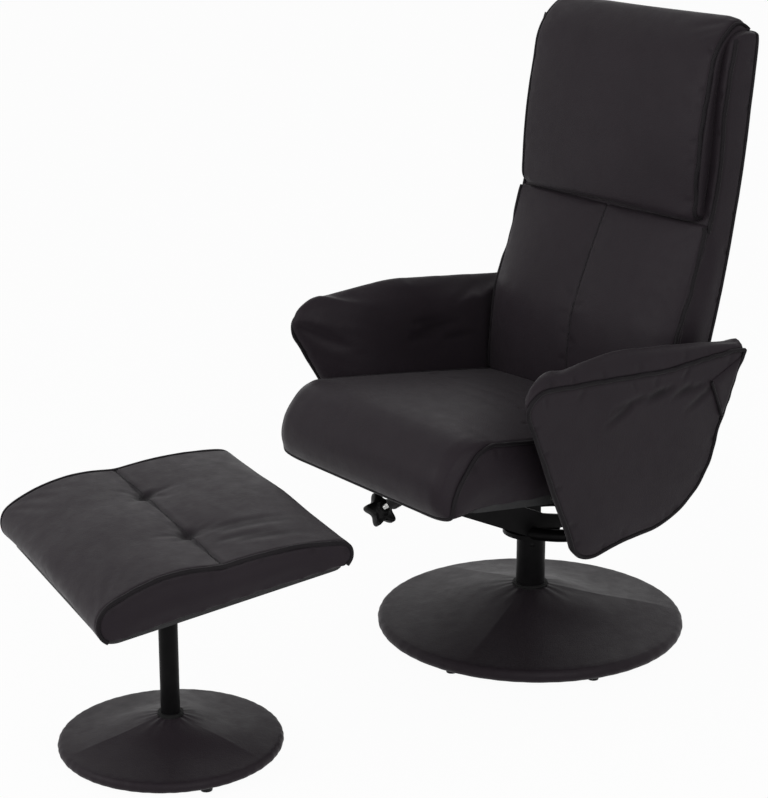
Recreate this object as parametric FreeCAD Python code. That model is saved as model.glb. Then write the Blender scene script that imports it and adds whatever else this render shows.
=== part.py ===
import FreeCAD, Part
import math
import os

os.makedirs("parts", exist_ok=True)
V = FreeCAD.Vector

# Where the two columns stand in the set, mm. The set's box is centred on the origin, floor at z = 0.
CHAIR_X = 0.0
CHAIR_Y = 365.0
STOOL_X = 38.0
STOOL_Y = -397.0
STOOL_YAW = -11.5

# Wrapped tent-shaped bases: rim radius, height where the cover meets the column.
BASE_R = 267.0
BASE_APEX_Z = 86.0
STOOL_BASE_R = 174.0
STOOL_APEX_Z = 62.0
RIM_THICK = 24.0
STOOL_RIM_THICK = 18.0
PLATE_THICK = 12.0
FOOT_HEIGHT = 10.0
COVER_THICK = 3.0
GORE_SAG = 0.22

# Chair column and swivel.
COLUMN_R = 25.0
COLUMN_WALL = 3.0
COLUMN_TOP = 178.0
SPINDLE_R = 15.0
RUN_CLEAR = 0.05
BODY_GAP = 0.3

# Seat: tilt of the board, where its front bottom edge is, cushion sizes.
SEAT_TILT = 6.5
SEAT_Y = -350.0
SEAT_Z = 349.0
SEAT_HALF = 236.0
SEAT_THICK = 117.0
SEAT_CROWN = 11.0
SEAT_LIP = 12.0
BOARD_THICK = 18.0

# Recline pivot in the seat's own frame, measured back and up from the board's front bottom edge.
PIVOT_BACK = 139.0
PIVOT_UP = -36.0
PIN_R = 8.0
LOCK_RISE = 33.0
PAD_HEIGHT = 12.0

# Back and arms. The arms lean out, so the gap to the seat is taken at the seat's lower edge.
BACK_HALF = SEAT_HALF + 4.0
ARM_GAP = 6.0
ARM_LEAN = 17.0
ARM_THICK = 44.0
ARM_INNER_X = SEAT_HALF + ARM_GAP + ARM_LEAN
ARM_OUTER_X = ARM_INNER_X + ARM_THICK

# Footstool cushion.
STOOL_HALF_W = 243.0
STOOL_HALF_D = 201.0
STOOL_THICK = 66.0
STOOL_FRONT_RISE = 18.0
STOOL_TILT = 9.0
STOOL_SEAT_Z = 319.0
STOOL_SHIFT = 12.0
STOOL_COLUMN_R = 15.0


def save(shape, node):
    solids = shape.Solids
    if not solids:
        raise RuntimeError(node + " has no solid")
    Part.makeCompound(solids).exportStep("parts/" + node + ".step")


def chair(shape):
    placed = shape.copy()
    placed.translate(V(CHAIR_X, CHAIR_Y, 0))
    return placed


def stool(shape):
    placed = shape.copy()
    placed.rotate(V(0, 0, 0), V(0, 0, 1), STOOL_YAW)
    placed.translate(V(STOOL_X, STOOL_Y, 0))
    return placed


def seat_frame(shape):
    # From the seat's own frame (front bottom edge of the board) to the chair's frame.
    placed = shape.copy()
    placed.rotate(V(0, 0, 0), V(1, 0, 0), -SEAT_TILT)
    placed.translate(V(0, SEAT_Y, SEAT_Z))
    return placed


def seat_point(x, back, up):
    t = math.radians(SEAT_TILT)
    y = SEAT_Y + back * math.cos(t) + up * math.sin(t)
    z = SEAT_Z - back * math.sin(t) + up * math.cos(t)
    return V(x, y, z)


def cylinder(radius, start, end):
    axis = end - start
    return Part.makeCylinder(radius, axis.Length, start, axis)


def tube(outer, inner, start, end):
    return cylinder(outer, start, end).cut(cylinder(inner, start, end))


def loop(place, steps):
    # Closed wire from points; a step that is a pair of points is an arc through the first to the second.
    edges = []
    here = steps[0]
    for step in steps[1:] + [steps[0]]:
        if isinstance(step[0], tuple):
            middle, end = step
            edges.append(Part.Arc(place(here), place(middle), place(end)).toShape())
        else:
            end = step
            if place(here).distanceToPoint(place(end)) < 1e-6:
                continue
            edges.append(Part.makeLine(place(here), place(end)))
        here = end
    return Part.Wire(edges)


def across(x):
    return lambda p: V(x, p[0], p[1])


def slab(steps, x0, x1):
    # A profile in the side view, drawn out across the chair from x0 to x1.
    return Part.Face(loop(across(x0), steps)).extrude(V(x1 - x0, 0, 0))


def loft(wires):
    return Part.makeLoft(wires, True, True)


def mirrored(shape):
    return shape.mirror(V(0, 0, 0), V(1, 0, 0))


def round_box(x0, x1, y0, y1, z0, z1, radius):
    box = Part.makeBox(x1 - x0, y1 - y0, z1 - z0, V(x0, y0, z0))
    upright = [e for e in box.Edges if abs(e.tangentAt(e.FirstParameter).z) > 0.99]
    return box.makeFillet(radius, upright)


def polar(radius, degrees, z):
    a = math.radians(degrees)
    return V(radius * math.cos(a), radius * math.sin(a), z)


def tent_section(ridge_r, panel_r, z, first):
    edges = []
    for k in range(3):
        a = first + 120 * k
        start = polar(ridge_r, a, z)
        middle = polar(panel_r, a + 60, z)
        end = polar(ridge_r, a + 120, z)
        edges.append(Part.Arc(start, middle, end).toShape())
    return Part.Wire(edges)


def tent(foot_r, foot_z, top_r, top_z, first, sag):
    # Three gores drawn tight over three ribs: round at the rim and at the column, flatter between.
    wires = [tent_section(foot_r, foot_r, foot_z, first)]
    for t in (0.3, 0.65):
        r = foot_r + (top_r - foot_r) * t
        z = foot_z + (top_z - foot_z) * t
        wires.append(tent_section(r, r * (1 - sag), z, first))
    wires.append(tent_section(top_r, top_r, top_z, first))
    return loft(wires)


def wrapped_base(rim_r, rim_thick, apex_z, column_r, ridge_angle, feet, foot_angle, foot_r):
    # Board, padded rim, ribs, stretched cover, glides and collar of one base.
    half = rim_thick / 2
    mid_z = FOOT_HEIGHT + half
    rim = Part.makeTorus(rim_r - half, half, V(0, 0, mid_z))
    board = cylinder(rim_r - half, V(0, 0, FOOT_HEIGHT), V(0, 0, FOOT_HEIGHT + PLATE_THICK))
    board = board.cut(rim).Solids[0]
    board = board.cut(cylinder(column_r - 5, V(0, 0, 0), V(0, 0, 40)))
    top = FOOT_HEIGHT + PLATE_THICK

    foot_z = FOOT_HEIGHT + rim_thick - 2.5
    skin = tent(rim_r - half + 4, foot_z, column_r + 2.5, apex_z, ridge_angle, GORE_SAG)
    hollow = tent(rim_r - half, foot_z - COVER_THICK, column_r + 1.5, apex_z - COVER_THICK, ridge_angle,
                  GORE_SAG)
    bore = cylinder(column_r + 0.6, V(0, 0, 0), V(0, 0, apex_z + 5))
    cover = skin.cut(hollow).cut(rim).cut(bore)
    cover = max(cover.Solids, key=lambda s: s.Volume)

    flange = tube(column_r + 32, column_r - 5, V(0, 0, top), V(0, 0, top + 5))
    ribs = []
    inner = column_r + 0.1
    edge = rim_r - half - 14
    for k in range(3):
        a = ridge_angle + 120 * k
        lift = apex_z - COVER_THICK - 6
        slope = (apex_z - foot_z) / (edge + 18 - column_r - 2.5)
        low = foot_z + 18 * slope - COVER_THICK - 3
        points = [V(inner, -2, top + 5), V(column_r + 36, -2, top + 5), V(column_r + 36, -2, top),
                  V(edge, -2, top), V(edge, -2, low), V(inner, -2, lift)]
        rib = Part.Face(Part.makePolygon(points + points[:1])).extrude(V(0, 4, 0))
        rib.rotate(V(0, 0, 0), V(0, 0, 1), a)
        ribs.append(rib)

    glides = []
    for k in range(feet):
        at = polar(foot_r, foot_angle + 360.0 * k / feet, 0)
        glide = Part.makeCone(9, 11, FOOT_HEIGHT, at, V(0, 0, 1))
        stem = cylinder(3, at + V(0, 0, FOOT_HEIGHT), at + V(0, 0, FOOT_HEIGHT + 9))
        board = board.cut(stem)
        glides.append(glide.fuse(stem).removeSplitter())

    bolts = []
    for k in range(4):
        at = polar(column_r + 20, 45 + 90 * k, 0)
        head = cylinder(5.5, at + V(0, 0, top + 5), at + V(0, 0, top + 9))
        shank = cylinder(3, at + V(0, 0, FOOT_HEIGHT + 1), at + V(0, 0, top + 5))
        flange = flange.cut(shank)
        board = board.cut(shank)
        for n in range(3):
            ribs[n] = ribs[n].cut(head)
        bolts.append(head.fuse(shank).removeSplitter())

    collar = tube(column_r + 5, column_r, V(0, 0, apex_z), V(0, 0, apex_z + 4))
    neck = tube(column_r + 0.6, column_r, V(0, 0, apex_z - 6), V(0, 0, apex_z))
    collar = collar.fuse(neck).removeSplitter()
    return board, rim, cover, flange, ribs, glides, bolts, collar


# Chair base: a round board with a padded rim, three steel ribs and a leather cover stretched over them.
parts = wrapped_base(BASE_R, RIM_THICK, BASE_APEX_Z, COLUMN_R, 55, 6, 46, BASE_R - 30)
board, rim, cover, flange, ribs, glides, bolts, collar = parts
save(chair(board), "base_board")
save(chair(rim), "base_rim")
save(chair(cover), "base_cover")
save(chair(flange), "base_flange")
save(chair(Part.makeCompound(ribs)), "base_ribs")
save(chair(Part.makeCompound(glides)), "base_glides")
save(chair(Part.makeCompound(bolts)), "base_bolts")
save(chair(collar), "base_collar")

# Column: a plain steel tube standing on the flange, with a small slot near its top.
column_foot = FOOT_HEIGHT + PLATE_THICK + 5
bore_r = COLUMN_R - COLUMN_WALL
column = tube(COLUMN_R, bore_r, V(0, 0, column_foot), V(0, 0, COLUMN_TOP))
slot = Part.makeBox(8, 12, 5, V(-4, -30, COLUMN_TOP - 15))
slot.rotate(V(0, 0, 0), V(0, 0, 1), 55)
save(chair(column.cut(slot)), "column_tube")

# Two plastic bushes pressed into the column; the upper one has a flange that carries the weight.
bush_bore = SPINDLE_R + RUN_CLEAR
lower_bush = tube(bore_r, bush_bore, V(0, 0, 70), V(0, 0, 95))
upper_bush = tube(bore_r, bush_bore, V(0, 0, 140), V(0, 0, COLUMN_TOP))
upper_bush = upper_bush.fuse(tube(COLUMN_R, bush_bore, V(0, 0, COLUMN_TOP), V(0, 0, COLUMN_TOP + 4)))
save(chair(lower_bush), "lower_bush")
save(chair(upper_bush.removeSplitter()), "upper_bush")

# Swivel spindle with its retaining ring, welded into the hub of the carrier.
hub_z = COLUMN_TOP + 4 + BODY_GAP
hub_top = hub_z + 7.7
spindle = cylinder(SPINDLE_R, V(0, 0, 50), V(0, 0, hub_top + 4))
save(chair(spindle), "swivel_spindle")
clip = tube(SPINDLE_R + 4, SPINDLE_R, V(0, 0, 66), V(0, 0, 69.5))
save(chair(clip), "spindle_clip")

# Carrier: hub, a channel rising forward to the recline pivot, and a bent-tube loop reaching back.
pivot = seat_point(0, PIVOT_BACK, PIVOT_UP)
py, pz = pivot.y, pivot.z
loop_r = 11.0
loop_z = hub_top + 4
carrier_loop = Part.makeTorus(92, loop_r, V(0, 60, loop_z))
hub = tube(50, SPINDLE_R, V(0, 0, hub_z), V(0, 0, hub_top)).cut(carrier_loop)
cheek_shape = [(48, hub_top), (48, hub_top + 22), (0, hub_top + 34), (py + 10, pz + 22),
               ((py - 23, pz + 8), (py - 11, pz - 19)), (-36, hub_top)]
web_shape = [(48, hub_top), (-36, hub_top), (py - 11, pz - 19), (py - 9, pz - 15),
             (-35, hub_top + 4), (48, hub_top + 4)]
channel = slab(cheek_shape, -34, -30).fuse(slab(cheek_shape, 30, 34)).fuse(slab(web_shape, -30, 30))
channel = channel.removeSplitter()
pin_axis = cylinder(10, V(-60, py, pz), V(60, py, pz))
channel = channel.cut(pin_axis).cut(carrier_loop)
channel = channel.cut(cylinder(SPINDLE_R, V(0, 0, 100), V(0, 0, hub_top + 5)))
channel = max(channel.Solids, key=lambda s: s.Volume)
save(chair(hub), "carrier_hub")
save(chair(channel), "carrier_channel")
save(chair(carrier_loop), "carrier_loop")

# Rubber pads at the back of the loop, where the foot of the back comes down at full recline.
pads = []
for side in (-1, 1):
    a = 90 + side * 22
    at = polar(92, a, 0) + V(0, 60, 0)
    pad = Part.makeCylinder(9, PAD_HEIGHT, V(at.x, at.y, loop_z + 4)).cut(carrier_loop)
    pads.append(max(pad.Solids, key=lambda s: s.CenterOfMass.z))
save(chair(Part.makeCompound(pads)), "stop_pads")

# Flanged bushes for the recline pin in the two cheeks of the carrier.
pin_bore = PIN_R + RUN_CLEAR
bushes = []
for side in (-1, 1):
    sleeve = tube(10, pin_bore, V(side * 28, py, pz), V(side * 34, py, pz))
    face = tube(13, pin_bore, V(side * 34, py, pz), V(side * 37.6, py, pz))
    bushes.append(sleeve.fuse(face).removeSplitter())
save(chair(Part.makeCompound(bushes)), "pivot_bushes")

# Lock: a brake cone on the pin, and a screw with a star knob that is driven against it from below.
rise = math.radians(LOCK_RISE)
lock_dir = V(math.cos(rise), 0, math.sin(rise))
cone_drop = 22.0
touch = V(-72, py, pz - cone_drop)
cone_r0 = cone_drop - 10 * math.cos(rise)
cone_r1 = cone_drop + 10 * math.cos(rise)
cone_x0 = touch.x - 10 * math.sin(rise)
cone_len = 20 * math.sin(rise)
cone = Part.makeCone(cone_r0, cone_r1, cone_len, V(cone_x0, py, pz), V(1, 0, 0))
cone = cone.fuse(cylinder(14, V(cone_x0 + cone_len, py, pz), V(-42, py, pz))).removeSplitter()
cone = cone.cut(cylinder(PIN_R, V(-110, py, pz), V(0, py, pz)))
save(chair(cone), "brake_cone")

screw_r = 5.0
screw_tip = touch - lock_dir * BODY_GAP
knob_at = touch - lock_dir * 92
screw = cylinder(screw_r, knob_at - lock_dir * 4, screw_tip)
save(chair(screw), "lock_screw")

boss_start = touch - lock_dir * 50
boss_end = touch - lock_dir * 22
boss = cylinder(12, boss_start, boss_end)
arm_top = pz - 32
tongue = Part.makeBox(106, 30, 4, V(-116, py - 15, arm_top - 4))
lock_bracket = boss.fuse(tongue).cut(cylinder(screw_r + RUN_CLEAR, knob_at, touch)).cut(channel)
lock_bracket = max(lock_bracket.Solids, key=lambda s: s.Volume)
post_shape = [(py - 8, arm_top), (py + 12, arm_top), (py + 12, pz), (py - 8, pz)]
post = slab(post_shape, -30, -14).cut(channel).cut(cylinder(14, V(-60, py, pz), V(60, py, pz)))
post = min(post.Solids, key=lambda s: s.CenterOfMass.z)
lock_bracket = lock_bracket.fuse(post).removeSplitter()
save(chair(lock_bracket), "lock_bracket")

# Five-lobed knob, drawn flat and turned onto the screw.
knob = Part.makeCylinder(19, 16, V(0, 0, -8))
for k in range(5):
    knob = knob.fuse(Part.makeCylinder(8.5, 16, polar(22, 90 + 72 * k, -8)))
knob = knob.fuse(Part.makeCone(14, 10, 8, V(0, 0, 8), V(0, 0, 1))).removeSplitter()
knob = knob.cut(Part.makeCylinder(screw_r, 40, V(0, 0, -4)))
knob.rotate(V(0, 0, 0), V(0, 1, 0), 90 - LOCK_RISE)
knob.translate(knob_at)
save(chair(knob), "star_knob")

# Tilt bracket under the seat board, with the cheeks that hold the recline pin.
plate = round_box(-112, 112, 60, 402, -4, 0, 20)
ear_steps = [(94, -4), (184, -4), (PIVOT_BACK + 17, PIVOT_UP - 11),
             ((PIVOT_BACK, PIVOT_UP - 20), (PIVOT_BACK - 17, PIVOT_UP - 11))]
bracket = plate.fuse(slab(ear_steps, -42, -38)).fuse(slab(ear_steps, 38, 42)).removeSplitter()
pin_hole = cylinder(PIN_R, V(-70, PIVOT_BACK, PIVOT_UP), V(70, PIVOT_BACK, PIVOT_UP))
bracket = bracket.cut(pin_hole)

pin = cylinder(PIN_R, V(cone_x0 - 2, py, pz), V(52, py, pz))
save(chair(pin), "recline_pin")
nut = tube(13, PIN_R, V(42, py, pz), V(50, py, pz))
save(chair(nut), "pin_collar")

# Seat board of plywood and the screws that hold the bracket to it.
board_half = SEAT_HALF - 14
seat_board = round_box(-board_half, board_half, 14, 398, 0, BOARD_THICK, 36)
screws = []
for x in (-92, 92):
    for back in (82, 230, 384):
        head = cylinder(7, V(x, back, -8), V(x, back, -4))
        shank = cylinder(3.5, V(x, back, -4), V(x, back, 14))
        plate_hole = cylinder(3.5, V(x, back, -5), V(x, back, 14))
        bracket = bracket.cut(plate_hole)
        seat_board = seat_board.cut(plate_hole)
        screws.append(head.fuse(shank).removeSplitter())
save(chair(seat_frame(bracket)), "tilt_bracket")
save(chair(seat_frame(Part.makeCompound(screws))), "bracket_screws")


# Seat cushion: crowned top, sides drawn in; the front slants at the ends, bulges forward between them
# and hangs a lip below the board.
def seat_section(x, draw, crown, bulge):
    top = SEAT_THICK - draw + crown
    shoulder = 74 + 12 * bulge - draw / 2
    steps = [(-16 + draw, -4 - SEAT_LIP * bulge),
             ((-5 - 37 * bulge + draw, 37 - 5 * bulge), (16 - 42 * bulge + draw, shoulder)),
             ((33 - 31 * bulge + draw, 101 + (11 + crown / 2) * bulge - draw * 0.7), (60 + draw, top)),
             ((240, top + crown * 0.3), (424, top - 2 - crown * 0.5)), (412, 0), (44, 0)]
    return loop(across(x), steps)


wires = []
half_sections = ((SEAT_HALF, 8, 0, 0.1), (SEAT_HALF - 4, 3, 0, 0.25), (SEAT_HALF - 14, 0, 1, 0.6),
                 (SEAT_HALF * 0.7, 0, 5, 0.95), (SEAT_HALF * 0.38, 0, 9, 1))
for x, draw, crown, bulge in half_sections:
    wires.append(seat_section(-x, draw, crown, bulge))
wires.append(seat_section(0, 0, SEAT_CROWN, 1))
for x, draw, crown, bulge in reversed(half_sections):
    wires.append(seat_section(x, draw, crown, bulge))
seat_cushion = loft(wires).cut(round_box(-board_half, board_half, 14, 398, -1, BOARD_THICK, 36))


# Back: one upholstered slab bent like the photographed side view, with a plywood core inside.
def back_section(x, draw):
    d = draw
    steps = [(92 + d, 300 + d), ((92 + d, 400), (100 + d, 500)), ((115 + d, 600), (150 + d, 690)),
             ((172 + d, 780), (184 + d, 900)), ((192 + d, 980), (206 + d, 1044 - d)),
             ((238, 1056 - d), (266 - d, 1050 - d)), ((262 - d, 1000), (254 - d, 930)),
             ((243 - d, 830), (228 - d, 740)), ((204 - d, 620), (178 - d, 520)),
             ((160 - d, 410), (154 - d, 300 + d))]
    return loop(across(x), steps)


wires = []
for x, draw in ((-BACK_HALF, 6), (-BACK_HALF + 6, 0), (BACK_HALF - 6, 0), (BACK_HALF, 6)):
    wires.append(back_section(x, draw))
back_shell = loft(wires)
core_steps = [(122, 310), ((123, 400), (132, 500)), ((148, 600), (182, 690)), ((204, 780), (214, 900)),
              ((221, 980), (229, 1040)), (245, 1040), ((237, 980), (230, 900)), ((220, 780), (198, 690)),
              ((164, 600), (148, 500)), ((139, 400), (138, 310))]
core_half = BACK_HALF - 35
back_core = slab(core_steps, -core_half, core_half)


# Lower back padding: shallow at its piped edges, fuller either side of the sewn centre line.
def pad_section(x, full, trim):
    f = full
    steps = [(100, 402 + trim), ((110, 500), (122, 580)), ((140, 640), (176, 748 - trim)),
             (158 - f * 0.2, 746 - trim), ((128 - f * 0.9, 645), (101 - f, 570)),
             ((91 - f, 490), (87 - f * 0.6, 406 + trim))]
    return loop(across(x), steps)


wires = []
pad_half = BACK_HALF - 1.5
half_sections = ((pad_half, -6, 8), (pad_half - 5, -1, 3), (pad_half - 17, 6, 0), (pad_half - 38, 15, 0),
                 (pad_half * 0.65, 24, 0), (pad_half * 0.4, 28, 0), (pad_half * 0.15, 27, 0), (10, 24, 0))
for x, full, trim in half_sections:
    wires.append(pad_section(-x, full, trim))
wires.append(pad_section(0, 20, 0))
for x, full, trim in reversed(half_sections):
    wires.append(pad_section(x, full, trim))
back_pad = loft(wires).cut(back_shell)
back_pad = max(back_pad.Solids, key=lambda s: s.Volume)


# Head pillow: hangs down the front of the back and rolls over its top edge.
def head_section(x, full, trim):
    f = full
    steps = [(180, 738 + trim), ((200, 900), (216, 1036 - trim)), ((232, 1052 - trim), (262, 1058 - trim)),
             ((248, 1074 - trim + f * 0.15), (216, 1070 - trim)),
             ((180 - f * 0.4, 1046 - trim), (174 - f, 985 - trim)),
             ((155 - f, 860), (150 - f * 0.8, 766 + trim)), ((151 - f * 0.5, 745 + trim), (164, 737 + trim))]
    return loop(across(x), steps)


wires = []
head_half = BACK_HALF - 16
half_sections = ((head_half, -2, 20), (head_half - 5, 3, 10), (head_half - 14, 8, 3), (head_half - 34, 12, 0),
                 (head_half * 0.45, 18, 0))
for x, full, trim in half_sections:
    wires.append(head_section(-x, full, trim))
wires.append(head_section(0, 20, 0))
for x, full, trim in reversed(half_sections):
    wires.append(head_section(x, full, trim))
head_pillow = loft(wires).cut(back_shell).cut(back_pad)
head_pillow = max(head_pillow.Solids, key=lambda s: s.Volume)

# Flat steel angles that join the back to the seat board: one leg under the board, one up the core.
angles = []
angle_bolts = []
angle_x = SEAT_HALF - 66
for x in (-angle_x, angle_x):
    foot = seat_frame(Part.makeBox(36, 170, 5, V(x - 18, 310, -5)))
    leg = Part.makeBox(36, 5, 150, V(x - 18, 131, 284))
    joint = seat_frame(Part.makeBox(36, 30, 5, V(x - 18, 455, -5)))
    angle = foot.fuse(leg).fuse(joint).removeSplitter()
    angle = angle.cut(Part.makeBox(40, 60, 60, V(x - 20, 136, 240)))
    angle = max(angle.Solids, key=lambda s: s.Volume)
    for back in (335, 378):
        head = seat_frame(cylinder(7, V(x, back, -9), V(x, back, -5)))
        shank = seat_frame(cylinder(3.5, V(x, back, -5), V(x, back, 14)))
        hole = cylinder(3.5, V(x, back, -6), V(x, back, 14))
        seat_board = seat_board.cut(hole)
        angle = angle.cut(shank)
        angle_bolts.append(head.fuse(shank).removeSplitter())
    angles.append(angle)
for angle in angles:
    back_core = back_core.cut(angle)
    back_shell = back_shell.cut(angle)
back_shell = back_shell.cut(back_core)


# Arms: padded panels that flare outwards, each round a plywood board; the outline is the side view.
def arm_section(trim_ends, rise, trim_foot, x0, flare):
    # Rise lifts the part above mid height, trim_foot draws in the part below it, trim_ends mostly the front.
    mid_y, mid_z = -50.0, 425.0
    outline = [(178, 560), ((-24, 576), (-226, 588)), ((-275, 578), (-292, 545)), ((-233, 412), (-163, 283)),
               ((-138, 243), (-92, 236)), ((-40, 249), (12, 254)), ((104, 300), (141, 402)),
               ((157, 480), (178, 560))]

    def place(p):
        reach = 1 + rise / 160.0 if p[1] > mid_z else 1 - trim_foot / 160.0
        y = mid_y + (p[0] - mid_y) * (1 - trim_ends / (225.0 if p[0] < mid_y else 900.0))
        z = mid_z + (p[1] - mid_z) * reach
        return V(x0 + flare * (z - mid_z) / 318.0, y, z)

    return loop(place, outline)


# The front end thins out towards the outer panel; the top is a full roll above the outer seam.
wires = []
for ends, rise, foot, x0, flare in ((70, -14, 22, ARM_INNER_X, 44), (52, -4, 12, ARM_INNER_X + 3, 44),
                                    (34, 5, 7, ARM_INNER_X + 9, 45), (18, 11, 4, ARM_INNER_X + 16, 46),
                                    (7, 12, 2, ARM_OUTER_X - 20, 46), (2, 9, 0, ARM_OUTER_X - 12, 47),
                                    (0, 3, 1, ARM_OUTER_X - 5, 48), (2, -3, 3, ARM_OUTER_X - 1.5, 48),
                                    (7, -8, 7, ARM_OUTER_X, 48)):
    wires.append(arm_section(ends, rise, foot, x0, flare))
arm_pad = loft(wires)
board_x = ARM_INNER_X + 16
arm_board = loft([arm_section(40, -28, 28, board_x, 46), arm_section(40, -28, 28, board_x + 12, 46)])

# Bolts and spacers that hold each arm to the edge of the seat board.
arm_bolts = []
spacers = []
for back in (200, 340):
    start = seat_point(SEAT_HALF - 30, back, 9)
    end = seat_point(board_x + 6, back, 9)
    bolt = cylinder(4, start, end)
    inner = seat_point(SEAT_HALF + 1.0, back, 9)
    outer = seat_point(ARM_INNER_X - 6, back, 9)
    spacer = tube(10, 4, inner, outer).cut(arm_pad)
    spacers.append(max(spacer.Solids, key=lambda s: s.Volume))
    arm_bolts.append(bolt)
    arm_pad = arm_pad.cut(bolt)
    arm_board = arm_board.cut(bolt)
arm_pad = arm_pad.cut(arm_board)
right = [mirrored(b) for b in arm_bolts]
board_in_place = seat_frame(seat_board)
cushion_in_place = seat_frame(seat_cushion)
for bolt in arm_bolts + right:
    board_in_place = board_in_place.cut(bolt)
    cushion_in_place = cushion_in_place.cut(bolt)
cushion_in_place = cushion_in_place.cut(back_pad).cut(back_shell)

save(chair(board_in_place), "seat_board")
save(chair(cushion_in_place), "seat_cushion")
save(chair(Part.makeCompound(angles)), "back_angles")
save(chair(Part.makeCompound(angle_bolts)), "angle_bolts")
save(chair(back_core), "back_core")
save(chair(back_shell), "back_shell")
save(chair(back_pad), "back_pad")
save(chair(head_pillow), "head_pillow")
save(chair(arm_pad), "arm_pad_left")
save(chair(arm_board), "arm_board_left")
save(chair(mirrored(arm_pad)), "arm_pad_right")
save(chair(mirrored(arm_board)), "arm_board_right")
save(chair(Part.makeCompound(arm_bolts + right)), "arm_bolts")
save(chair(Part.makeCompound(spacers + [mirrored(s) for s in spacers])), "arm_spacers")

# Footstool base, built like the chair's; its cover ridges face their own way.
parts = wrapped_base(STOOL_BASE_R, STOOL_RIM_THICK, STOOL_APEX_Z, STOOL_COLUMN_R, 33, 4, 90,
                     STOOL_BASE_R - 24)
board, rim, cover, flange, ribs, glides, bolts, collar = parts
save(stool(board), "stool_base_board")
save(stool(rim), "stool_base_rim")
save(stool(cover), "stool_base_cover")
save(stool(flange), "stool_base_flange")
save(stool(Part.makeCompound(ribs)), "stool_base_ribs")
save(stool(Part.makeCompound(glides)), "stool_base_glides")
save(stool(Part.makeCompound(bolts)), "stool_base_bolts")
save(stool(collar), "stool_base_collar")


def stool_tilt(shape):
    placed = shape.copy()
    placed.rotate(V(0, 0, 0), V(1, 0, 0), STOOL_TILT)
    placed.translate(V(0, 0, STOOL_SEAT_Z))
    return placed


# Footstool column, cut at the cushion's angle, and the plate that carries the cushion board.
stool_plate = stool_tilt(round_box(-80, 80, -80, 80, -4, 0, 12))
column = tube(STOOL_COLUMN_R, STOOL_COLUMN_R - 2, V(0, 0, column_foot), V(0, 0, STOOL_SEAT_Z + 20))
above = stool_tilt(Part.makeBox(400, 400, 100, V(-200, -200, -4)))
column = column.cut(above)
save(stool(max(column.Solids, key=lambda s: s.Volume)), "stool_column")

stool_board = stool_tilt(round_box(-STOOL_HALF_W + 14, STOOL_HALF_W - 14, STOOL_SHIFT - STOOL_HALF_D + 16,
                                   STOOL_SHIFT + STOOL_HALF_D - 16, 0, 15, 20))
screws = []
for x in (-62, 62):
    for y in (-62, 62):
        head = stool_tilt(cylinder(6, V(x, y, -7.5), V(x, y, -4)))
        shank = stool_tilt(cylinder(3, V(x, y, -4), V(x, y, 11)))
        stool_plate = stool_plate.cut(shank)
        stool_board = stool_board.cut(shank)
        screws.append(head.fuse(shank).removeSplitter())
save(stool(stool_plate), "stool_plate")
save(stool(Part.makeCompound(screws)), "stool_screws")
save(stool(stool_board), "stool_board")


# Footstool cushion: fuller towards the front, rounded long edges, two crowns with the sewn line between.
def stool_section(x, draw, dip):
    w = STOOL_HALF_D
    h = STOOL_THICK - draw
    front = h - 14 + STOOL_FRONT_RISE * 0.6
    seam = h - 10 + STOOL_FRONT_RISE * 0.6 - dip
    steps = [(-w + 10 + draw, 0), ((-w - 1 + draw, 28), (-w + 16, front)),
             ((-w / 2 - 6, h + 2 + STOOL_FRONT_RISE), (-5, seam)), (5, seam),
             ((w / 2 + 6, h - 3), (w - 16, h - 16)), ((w + 2 - draw, 22), (w - 10 - draw, 0))]
    return loop(across(x), steps)


wires = []
half_sections = ((STOOL_HALF_W, 6, 1), (STOOL_HALF_W - 4, 2, 1), (STOOL_HALF_W - 12, 0, 1),
                 (165, 0, 2), (95, 0, 6), (50, -1, 3))
for x, draw, dip in half_sections:
    wires.append(stool_section(-x, draw, dip))
wires.append(stool_section(0, -2, 2))
for x, draw, dip in reversed(half_sections):
    wires.append(stool_section(x, draw, dip))
inside = round_box(-STOOL_HALF_W + 14, STOOL_HALF_W - 14, -STOOL_HALF_D + 16, STOOL_HALF_D - 16, -1, 15, 20)
stool_cushion = loft(wires).cut(inside)
stool_cushion.translate(V(0, STOOL_SHIFT, 0))
save(stool(stool_tilt(stool_cushion)), "stool_cushion")
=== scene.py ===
import bpy
import bmesh
import math
import numpy as np
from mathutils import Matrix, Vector
from mathutils.bvhtree import BVHTree


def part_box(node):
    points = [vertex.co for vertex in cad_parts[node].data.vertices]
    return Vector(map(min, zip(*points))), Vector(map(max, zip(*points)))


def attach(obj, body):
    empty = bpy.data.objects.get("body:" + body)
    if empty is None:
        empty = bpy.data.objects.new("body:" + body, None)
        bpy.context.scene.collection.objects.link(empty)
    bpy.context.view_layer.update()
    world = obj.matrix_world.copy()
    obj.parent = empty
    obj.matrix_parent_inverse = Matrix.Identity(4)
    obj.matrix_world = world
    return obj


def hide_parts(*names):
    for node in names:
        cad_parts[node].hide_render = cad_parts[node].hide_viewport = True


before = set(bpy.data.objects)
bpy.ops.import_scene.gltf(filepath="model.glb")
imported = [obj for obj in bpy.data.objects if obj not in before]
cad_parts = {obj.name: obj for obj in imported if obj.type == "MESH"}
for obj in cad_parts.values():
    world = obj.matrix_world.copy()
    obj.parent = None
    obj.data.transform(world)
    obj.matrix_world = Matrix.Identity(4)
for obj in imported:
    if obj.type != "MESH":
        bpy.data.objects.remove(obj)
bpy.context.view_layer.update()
scene = bpy.context.scene
scene.view_settings.view_transform = "Standard"


# Base boards and cushion boards
# Round and square plywood boards under the leather, closed below with a black non-woven lining
# that is stapled on. Only their undersides show, and only from low down.
def node_of(tree, kind, inputs=(), **settings):
    made = tree.nodes.new(kind)
    for key, value in settings.items():
        setattr(made, key, value)
    for key, value in dict(inputs).items():
        made.inputs[key].default_value = value
    return made


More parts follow.
